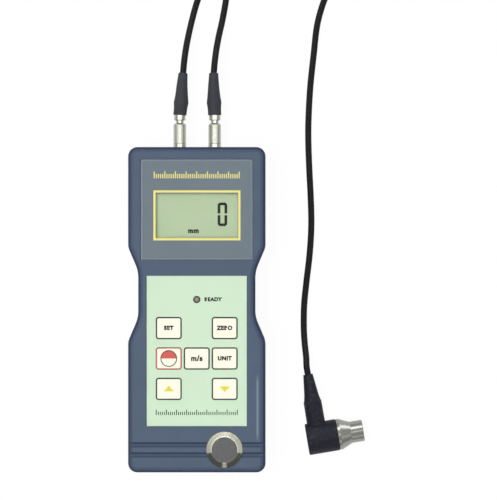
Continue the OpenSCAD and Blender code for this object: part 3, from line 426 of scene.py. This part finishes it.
NODE_MATERIALS = {
    abs_blue: ["front_case", "rear_case", "battery_cover"],
    film_grey: ["display_panel"],
    pane: ["display_window"],
    cell: ["lcd_glass"],
    white_abs: ["lcd_holder"],
    strip_rubber: ["lcd_strips"],
    film_mint: ["keypad_overlay"],
    film_cream: [k + "_key" for k in KEYS],
    black_epoxy: ["key_switches", "controller_chip"] + [k + "_plunger" for k in KEYS],
    epoxy: ["coupling_lamp"],
    steel_block: ["test_block"],
    solder_mask: ["main_board"],
    can_metal: ["board_parts"],
    spring_steel: ["board_screws", "case_screws", "battery_springs", "battery_contacts"],
    nickel: ["left_socket", "right_socket", "socket_nuts", "left_plug", "right_plug"],
    gripped_nickel: ["left_latch_sleeve", "right_latch_sleeve"],
    cell_sleeve: BATTERIES,
    boot_rubber: ["left_boot", "right_boot"],
    cord_pvc: [
        "socket_wires", "left_lead", "right_lead", "cable_yoke", "cable_coil", "cable_tie", "probe_cable"],
    probe_nylon: ["probe_boot", "probe_housing"],
    stainless: ["probe_case"],
    delay_resin: ["delay_lines", "acoustic_barrier", "damping_block"],
    crystal_ceramic: ["probe_crystals"],
}


def dress(piece, material):
    piece.data.materials.clear()
    piece.data.materials.append(material)


for node_material, names in NODE_MATERIALS.items():
    for node_name in names:
        dress(nodes[node_name], node_material)


# Modelling helpers

PRINT_THICK = 0.03


def start_piece():
    """Goes back to object mode and deselects everything, ready for a new primitive."""
    if bpy.context.object and bpy.context.object.mode != "OBJECT":
        bpy.ops.object.mode_set(mode="OBJECT")
    bpy.ops.object.select_all(action="DESELECT")


def place_in_mesh():
    """Goes back to object mode and puts the piece's place in its mesh."""
    bpy.ops.object.mode_set(mode="OBJECT")
    bpy.ops.object.transform_apply(location=True, rotation=True, scale=True)
    return bpy.context.object


def finish_piece(name, material, body):
    """Names the active piece, puts its place in its mesh, and hangs it on a body."""
    piece = place_in_mesh()
    piece.name = name
    piece.data.name = name
    dress(piece, material)
    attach(piece, body)
    return piece


def raise_print():
    """Gives the flat faces in edit mode the thickness of an ink film."""
    bpy.ops.mesh.select_all(action="SELECT")
    bpy.ops.mesh.extrude_region_move(TRANSFORM_OT_translate={"value": (0, 0, PRINT_THICK * MM)})
    bpy.ops.mesh.select_all(action="SELECT")
    bpy.ops.mesh.normals_make_consistent(inside=False)


def open_middle(line):
    """Leaves a line of the selected face around its edge, and deletes its middle."""
    bpy.ops.mesh.inset(thickness=line * MM)
    bpy.ops.mesh.delete(type="FACE")


def flat_disc(x, y, z, radius, vertices=48):
    """A flat disc in edit mode, with its face selected."""
    start_piece()
    bpy.ops.mesh.primitive_circle_add(
        vertices=vertices, radius=radius * MM, fill_type="NGON", location=(x * MM, y * MM, z * MM))
    bpy.ops.object.mode_set(mode="EDIT")
    bpy.ops.mesh.select_all(action="SELECT")


def flat_plate(x, y, z, width, height, corner=0.0, segments=8):
    """A flat plate in edit mode, with corners that are rounded, or cut if they have one segment."""
    start_piece()
    bpy.ops.mesh.primitive_plane_add(size=1, location=(x * MM, y * MM, z * MM))
    bpy.context.object.scale = (width * MM, height * MM, 1)
    bpy.ops.object.transform_apply(location=False, rotation=False, scale=True)
    bpy.ops.object.mode_set(mode="EDIT")
    bpy.ops.mesh.select_all(action="SELECT")
    if corner:
        bpy.ops.mesh.bevel(offset=corner * MM, segments=segments, affect="VERTICES")
        bpy.ops.mesh.select_all(action="SELECT")


def printed_frame(name, x, y, z, width, height, corner, line, material, body):
    """A printed line around a rectangle."""
    flat_plate(x, y, z, width, height, corner)
    open_middle(line)
    raise_print()
    return finish_piece(name, material, body)


def printed_ring(name, x, y, z, radius, line, material, body):
    """A printed circle line."""
    flat_disc(x, y, z, radius)
    open_middle(line)
    raise_print()
    return finish_piece(name, material, body)


def join_pieces(pieces):
    """Joins finished meshes into the first one."""
    start_piece()
    for piece in pieces:
        piece.select_set(True)
    bpy.context.view_layer.objects.active = pieces[0]
    bpy.ops.object.join()


def printed_ticks(name, x, y, z, pitch, count, width, heights, material, body):
    """A row of ticks on one base line; heights repeats along the row."""
    ticks = []
    for i in range(count):
        height = heights[i % len(heights)]
        flat_plate(x + (i - (count - 1) / 2) * pitch, y + height / 2, z, width, height)
        raise_print()
        ticks.append(place_in_mesh())
    join_pieces(ticks)
    return finish_piece(name, material, body)


def printed_word(name, words, x, y, z, size, heavier, material, body):
    """A printed legend, made a mesh before it is placed."""
    start_piece()
    bpy.ops.object.text_add()
    text = bpy.context.object
    text.data.body = words
    text.data.size = size * MM
    text.data.offset = heavier * MM
    text.data.space_character = 1.12
    text.data.align_x = "CENTER"
    text.data.align_y = "CENTER"
    text.data.extrude = PRINT_THICK / 2 * MM
    bpy.ops.object.convert(target="MESH")
    bpy.context.object.location = (x * MM, y * MM, (z + PRINT_THICK / 2) * MM)
    return finish_piece(name, material, body)


def smoothed_copy(node, angle, material):
    """A merged copy of a CAD node with its facets shaded as the smooth form they stand for."""
    start_piece()
    piece = bpy.data.objects.new(node + "_skin", nodes[node].data.copy())
    bpy.context.scene.collection.objects.link(piece)
    bpy.context.view_layer.objects.active = piece
    piece.select_set(True)
    bpy.ops.object.mode_set(mode="EDIT")
    bpy.ops.mesh.select_all(action="SELECT")
    bpy.ops.mesh.remove_doubles(threshold=0.001 * MM)
    bpy.ops.mesh.customdata_custom_splitnormals_clear()
    bpy.ops.mesh.dissolve_limited(angle_limit=math.radians(0.2))
    bpy.ops.object.mode_set(mode="OBJECT")
    bpy.ops.object.shade_smooth_by_angle(angle=math.radians(angle))
    bpy.ops.object.modifier_add(type="WEIGHTED_NORMAL")
    piece.modifiers[-1].keep_sharp = True
    bpy.ops.object.modifier_apply(modifier=piece.modifiers[-1].name)
    finish_piece(node + "_skin", material, body_of_node[node])
    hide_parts(node)
    return piece


# Cords: the given routes of the leads and of the cable

CORD_RADIUS = 1.6
BOOT_ENDS = {"left": (-7.1, 117.75, 14.4), "right": (8.2, 117.75, 14.4)}
LEAD_ROUTES = {
    "left": [
        (-6.6, 123.5, 13.5), (-5.8, 130, 11), (-4.6, 137, 7.3), (-2.9, 145, 3.5),
        (-0.5, 154, 1.9), (2.4, 161.2, 1.8), (6.5, 167.4, 1.8), (11.6, 172.4, 1.9),
    ],
    "right": [
        (8.7, 123.5, 13.5), (9.5, 130, 11), (10.7, 137, 7.3), (12.4, 145, 3.5),
        (14, 154, 1.9), (14.8, 160.6, 1.8), (16.1, 166.4, 1.8), (17.9, 171, 1.9),
    ],
}
YOKE_PLACE = Vector((22.5, 179.5, 2.2))
YOKE_AHEAD = Vector((math.cos(math.radians(45)), math.sin(math.radians(45)), 0))
YOKE_ACROSS = Vector((YOKE_AHEAD.y, -YOKE_AHEAD.x, 0))
YOKE_SPLIT = 1.9
YOKE_LENGTH = 12
YOKE_LEAD_IN = 5
YOKE_SHARP_ANGLE = 50
COIL_PLACE = Vector((55, 183, 0))
COIL_LOW = 2.2
COIL_HIGH = 5.4
COIL_OUTER = 20.7
COIL_MIDDLE = 17.5
COIL_INNER = 14.3
COIL_ENTRY = 135
COIL_LEAVE = -30
COIL_STEP = 7.5
COIL_JOG = 45
COIL_DUCK = 1.4
CABLE_ROUTE = [
    (69.4, 167, 4.2), (65.9, 160.3, 2.6), (62.7, 152.5, 1.9), (60, 142, 1.8), (58.4, 128, 1.8),
    (56.7, 112, 1.8), (55.8, 96, 1.8), (55.7, 84, 1.8), (56.2, 70, 1.8), (56.9, 56, 1.8),
    (57.2, 42, 1.8), (56.4, 28, 1.8), (54.8, 14, 1.8), (53.6, 2, 1.8), (53.4, -9, 2.2),
    (53.8, -17, 3.8), (54.5, -24, 6.2),
]
PROBE_BOOT_END = Vector((55.356, -32.834, 7.9))
PROBE_NECK_WAY = Vector((-math.sin(PROBE_TURN), math.cos(PROBE_TURN), 0))
PROBE_LEAD_IN = 4
ROUTE_STEPS = 6
STRAIGHT_STEPS = 5


def smooth_route(points):
    """Points on a smooth curve through given points."""
    p = [Vector(q) for q in points]
    route = []
    for i in range(len(p) - 1):
        a, b, c, d = p[max(i - 1, 0)], p[i], p[i + 1], p[min(i + 2, len(p) - 1)]
        leave = c - b if i == 0 else (c - a) / 2
        arrive = c - b if i == len(p) - 2 else (d - b) / 2
        for k in range(ROUTE_STEPS):
            t = k / ROUTE_STEPS
            route.append(
                (2 * t ** 3 - 3 * t ** 2 + 1) * b + (t ** 3 - 2 * t ** 2 + t) * leave
                + (3 * t ** 2 - 2 * t ** 3) * c + (t ** 3 - t ** 2) * arrive)
    return route + [p[-1]]


def coil_point(angle, radius, z):
    a = math.radians(angle)
    return COIL_PLACE + Vector((radius * math.cos(a), radius * math.sin(a), z))


def wound_turns():
    """Turns of the coil, clockwise: three below from the outside in, and three above from the inside out."""
    turns = [
        (COIL_OUTER, COIL_MIDDLE, COIL_LOW, COIL_LOW), (COIL_MIDDLE, COIL_INNER, COIL_LOW, COIL_LOW),
        (COIL_INNER, COIL_INNER, COIL_LOW, COIL_HIGH), (COIL_INNER, COIL_MIDDLE, COIL_HIGH, COIL_HIGH),
        (COIL_MIDDLE, COIL_OUTER, COIL_HIGH, COIL_HIGH),
    ]
    points = []
    for r0, r1, z0, z1 in turns:
        for k in range(int(360 / COIL_STEP)):
            t = max(0, k * COIL_STEP - (360 - COIL_JOG)) / COIL_JOG
            s = t * t * (3 - 2 * t)
            inward = COIL_DUCK * math.sin(math.pi * s) if z1 > z0 else 0
            points.append(coil_point(
                COIL_ENTRY - k * COIL_STEP, r0 + (r1 - r0) * s - inward, z0 + (z1 - z0) * s))
    for k in range(int((COIL_ENTRY - COIL_LEAVE) / COIL_STEP) + 1):
        points.append(coil_point(COIL_ENTRY - k * COIL_STEP, COIL_OUTER, COIL_HIGH))
    return points


def cord_curve(name, points):
    """A round cord along points in millimetres."""
    curve = bpy.data.curves.new(name, "CURVE")
    curve.dimensions = "3D"
    curve.bevel_depth = CORD_RADIUS * MM
    curve.bevel_resolution = 5
    curve.use_fill_caps = True
    spline = curve.splines.new("POLY")
    spline.points.add(len(points) - 1)
    for spot, p in zip(spline.points, points):
        spot.co = (p.x * MM, p.y * MM, p.z * MM, 1)
    spline.use_smooth = True
    piece = bpy.data.objects.new(name, curve)
    bpy.context.scene.collection.objects.link(piece)
    curve.materials.append(cord_pvc)
    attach(piece, "probe_lead")
    return piece


yoke_skin = smoothed_copy("cable_yoke", YOKE_SHARP_ANGLE, cord_pvc)
for side, across in (("left", -1), ("right", 1)):
    entry = YOKE_PLACE + across * YOKE_SPLIT * YOKE_ACROSS
    way = smooth_route([BOOT_ENDS[side], *LEAD_ROUTES[side], entry - YOKE_LEAD_IN * YOKE_AHEAD, entry])
    lead = cord_curve(side + "_lead_cord", way)
    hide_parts(side + "_lead")

yoke_end = YOKE_PLACE + YOKE_LENGTH * YOKE_AHEAD
coiled = wound_turns()
from_yoke = [yoke_end + (coiled[0] - yoke_end) * k / STRAIGHT_STEPS for k in range(STRAIGHT_STEPS)]
to_probe = smooth_route([
    coiled[-1], *CABLE_ROUTE, PROBE_BOOT_END + PROBE_LEAD_IN * PROBE_NECK_WAY, PROBE_BOOT_END])
cable_way = from_yoke + coiled + to_probe[1:]
cable = cord_curve("probe_cable_cord", cable_way)
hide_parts("probe_cable", "cable_coil")


# Case, boots and display

SHARP_ANGLE = 32
DIGIT_X = 12.65
DIGIT_Y = 47.2
DIGIT_GAP = 0.85

for shell in ("front_case", "rear_case", "battery_cover"):
    smoothed_copy(shell, SHARP_ANGLE, abs_blue)
for side in ("left", "right"):
    smoothed_copy(side + "_boot", SHARP_ANGLE, boot_rubber)

printed_frame("window_frame_print", WINDOW.x + 0.1, WINDOW.y + 0.2, PANEL_TOP, width=43, height=24.7, corner=0,
              line=1.1, material=yellow_ink, body="gauge")
printed_ticks("panel_scale_print", 0, 64.9, PANEL_TOP, pitch=1.05, count=41, width=0.5,
              heights=[3.4, 2.2, 2.2, 2.2, 2.2], material=yellow_ink, body="gauge")


def display_zero():
    """A nought of display segments: a frame with cut corners, parted at the middle."""
    halves = []
    for way in (-1, 1):
        flat_plate(DIGIT_X, DIGIT_Y, LCD_TOP, width=4.75, height=11.7, corner=0.95, segments=1)
        open_middle(line=1.35)
        bpy.ops.mesh.select_all(action="SELECT")
        bpy.ops.mesh.bisect(
            plane_co=(DIGIT_X * MM, (DIGIT_Y + way * DIGIT_GAP / 2) * MM, LCD_TOP * MM),
            plane_no=(0, way, 0), clear_inner=True, use_fill=False)
        raise_print()
        halves.append(place_in_mesh())
    join_pieces(halves)
    finish_piece("display_digit", segment_ink, "gauge")


display_zero()
printed_word("display_unit", "mm", -1.7, 39.05, LCD_TOP, size=3.3, heavier=0.2,
             material=segment_ink, body="gauge")


# Keypad print

LEGENDS = {"select": "SET", "calibrate": "ZERO", "velocity": "m/s", "units": "UNIT"}
CAPITALS_SIZE = 2.7
SMALLS_SIZE = 3.6
POWER_RADIUS = 4.1
ARROW_SIZE = (2.9, 1.85)
ARROW_SHIFT = 0.3

for key in KEYS:
    spot = middle(key + "_key")
    low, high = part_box(key + "_key")
    size = (high - low) / MM
    face = high.z / MM
    button = key + "_button"
    printed_frame(key + "_key_line", spot.x, spot.y, face, size.x, size.y, corner=1.2, line=0.45,
                  material=red_ink if key == "power" else line_ink, body=button)
    if key in LEGENDS:
        word = LEGENDS[key]
        printed_word(key + "_key_legend", word, spot.x, spot.y, face,
                     size=SMALLS_SIZE if word.islower() else CAPITALS_SIZE, heavier=0.16,
                     material=legend_ink, body=button)


def power_sign():
    """A circle with its upper half filled."""
    spot = middle("power_key")
    face = top("power_key")
    printed_ring("power_key_ring", spot.x, spot.y, face, POWER_RADIUS, line=0.4,
                 material=line_ink, body="power_button")
    flat_disc(spot.x, spot.y, face, POWER_RADIUS - 0.35)
    bpy.ops.mesh.bisect(
        plane_co=(spot.x * MM, spot.y * MM, face * MM), plane_no=(0, 1, 0), clear_inner=True, use_fill=False)
    raise_print()
    finish_piece("power_key_half", red_ink, "power_button")


def arrow_sign(key, way):
    """A filled triangle that points up or down."""
    spot = middle(key + "_key")
    flat_disc(spot.x, spot.y - ARROW_SHIFT * way, top(key + "_key"), radius=1, vertices=3)
    bpy.ops.object.mode_set(mode="OBJECT")
    bpy.context.object.scale = (ARROW_SIZE[0], ARROW_SIZE[1] * way, 1)
    bpy.ops.object.transform_apply(location=False, rotation=False, scale=True)
    bpy.ops.object.mode_set(mode="EDIT")
    raise_print()
    finish_piece(key + "_key_arrow", sign_ink, key + "_button")


power_sign()
arrow_sign("up", 1)
arrow_sign("down", -1)

printed_ring("lamp_print", LAMP.x, LAMP.y, PAD_TOP, radius=1.8, line=0.2,
             material=line_ink, body="gauge")
printed_word("lamp_legend", "READY", 8.0, LAMP.y, PAD_TOP, size=2.5, heavier=0.14,
             material=legend_ink, body="gauge")
printed_ticks("keypad_scale_print", 0, -51.9, PAD_TOP, pitch=1.0, count=41, width=0.4,
              heights=[2.6, 1.5, 1.5, 1.5, 1.5], material=legend_ink, body="gauge")


# Floor, light and camera

CAMERA_PLACE = (25.56, 29.55, 1401)
CAMERA_LENS = 200
FLOOR_DROP = 0.3
FLOOR_GLOW_SHARE = 0.92

# Overhead and a little to the left, as the display's inner shadow shows
LAMP_WAY = Vector((-0.16, 0.02, 1)).normalized()
LAMP_FOCUS = 24


def white_floor():
    """A pale floor that reads white to the camera and to metal, and keeps a soft shadow."""
    start_piece()
    bpy.ops.mesh.primitive_plane_add(size=8, location=(0, 0, -FLOOR_DROP * MM))
    floor = bpy.context.object
    floor.name = "floor"
    material = bpy.data.materials.new("matt_white_floor")
    material.use_nodes = True
    tree = material.node_tree
    tree.nodes.remove(tree.nodes["Principled BSDF"])
    path = add(tree, "ShaderNodeLightPath")
    seen = add(tree, "ShaderNodeMath", {
        0: path.outputs["Is Camera Ray"], 1: path.outputs["Is Glossy Ray"]}, operation="ADD")
    shown = add(tree, "ShaderNodeMath", {
        0: seen.outputs["Value"], 1: path.outputs["Is Transmission Ray"]}, operation="ADD", use_clamp=True)
    share = add(tree, "ShaderNodeMath", {0: shown.outputs["Value"], 1: FLOOR_GLOW_SHARE}, operation="MULTIPLY")
    matt = add(tree, "ShaderNodeBsdfDiffuse", {"Color": linear("#dcdcdc")})
    glow = add(tree, "ShaderNodeEmission", {"Color": (1, 1, 1, 1), "Strength": 1.03})
    mix = add(tree, "ShaderNodeMixShader", {
        0: share.outputs["Value"], 1: matt.outputs["BSDF"], 2: glow.outputs["Emission"]})
    tree.links.new(mix.outputs["Shader"], tree.nodes["Material Output"].inputs["Surface"])
    dress(floor, material)


def studio_world():
    """A room lit from overhead.

    What shines sees its walls and ceiling, far windows, a lamp strip and a dark near wall with a door.
    """
    world = bpy.data.worlds.new("studio")
    bpy.context.scene.world = world
    world.use_nodes = True
    tree = world.node_tree
    back = tree.nodes["Background"]
    back.inputs["Color"].default_value = (1, 1, 1, 1)
    way = add(tree, "ShaderNodeTexCoord").outputs["Generated"]
    parts = add(tree, "ShaderNodeSeparateXYZ", {"Vector": way})
    across, ahead, up = (parts.outputs[axis] for axis in "XYZ")

    # Light for matt surfaces: a lobe around the lamp, and an even light near the horizon
    to_lamp = add(tree, "ShaderNodeVectorMath", {0: way, 1: LAMP_WAY}, operation="DOT_PRODUCT")
    height = add(tree, "ShaderNodeMapRange", {"Value": to_lamp.outputs["Value"]})
    lobe = add(tree, "ShaderNodeMath", {0: height.outputs["Result"], 1: LAMP_FOCUS}, operation="POWER")
    lamplight = add(tree, "ShaderNodeMapRange", {"Value": lobe.outputs["Value"], "To Min": 0.12, "To Max": 8.9})
    lamplight = add(tree, "ShaderNodeMix", {
        MIX_SHARE: band(tree, up, 0.0, 0.25, 0.15), VALUE_A: lamplight.outputs["Result"], VALUE_B: 0.9})

    # What shines sees: fields from one height to another in a part of the room, each laid over those before
    beyond = band(tree, ahead, 0.3, 1.0, 0.1)
    behind = band(tree, ahead, -1.0, -0.08, 0.05)
    nearest = band(tree, ahead, -1.0, -0.28, 0.06)
    far_left = band(tree, across, -1.0, 0.35, 0.05, within=beyond)
    far_right = band(tree, across, 0.48, 0.7, 0.05, within=beyond)
    middle_strip = band(tree, ahead, 0.0, 0.1, 0.03)
    door = band(tree, across, -0.1, 0.08, 0.05)
    near_wall = add(tree, "ShaderNodeMix", {MIX_SHARE: door, VALUE_A: 0.08, VALUE_B: 0.5}).outputs[VALUE_OUT]
    fields = [
        (0.36, 0.49, None, 0.62), (0.53, 0.8, far_left, 4.5), (0.0, 0.36, far_right, 4.0),
        (0.5, 0.74, behind, 0.8), (0.76, 1.0, behind, 0.15), (0.1, 0.43, nearest, near_wall),
        (0.76, 1.0, middle_strip, 2.3),
    ]
    room = 0.4
    for low, high, within, level in fields:
        room = add(tree, "ShaderNodeMix", {
            MIX_SHARE: band(tree, up, low, high, 0.03, within), VALUE_A: room, VALUE_B: level}).outputs[VALUE_OUT]

    path = add(tree, "ShaderNodeLightPath")
    lit = add(tree, "ShaderNodeMix", {
        MIX_SHARE: path.outputs["Is Glossy Ray"], VALUE_A: lamplight.outputs[VALUE_OUT], VALUE_B: room})
    level = add(tree, "ShaderNodeMix", {
        MIX_SHARE: path.outputs["Is Camera Ray"], VALUE_A: lit.outputs[VALUE_OUT], VALUE_B: 1.0})
    tree.links.new(level.outputs[VALUE_OUT], back.inputs["Strength"])


def soft_box(name, place, aim, size, power):
    """A rectangular soft light that faces a point, with its place and size in metres."""
    light = bpy.data.lights.new(name, "AREA")
    light.shape = "RECTANGLE"
    light.size, light.size_y = size
    light.energy = power
    lamp = bpy.data.objects.new(name, light)
    bpy.context.scene.collection.objects.link(lamp)
    lamp.location = place
    lamp.visible_glossy = False
    lamp.rotation_euler = (Vector(aim) - Vector(place)).to_track_quat("-Z", "Y").to_euler()


def photo_camera():
    """Straight down on the gauge, from as far as a long lens needs."""
    data = bpy.data.cameras.new("camera")
    data.sensor_width = 36
    data.lens = CAMERA_LENS
    data.clip_start = 0.01
    data.clip_end = 20
    camera = bpy.data.objects.new("camera", data)
    bpy.context.scene.collection.objects.link(camera)
    camera.location = [c * MM for c in CAMERA_PLACE]
    camera.rotation_euler = (0, 0, 0)
    bpy.context.scene.camera = camera


white_floor()
studio_world()
soft_box("overhead_box", place=(0.02, -0.1, 1.9), aim=(0.02, 0.03, 0), size=(1.2, 0.9), power=4.6)
photo_camera()
bpy.context.scene.view_settings.view_transform = "Standard"
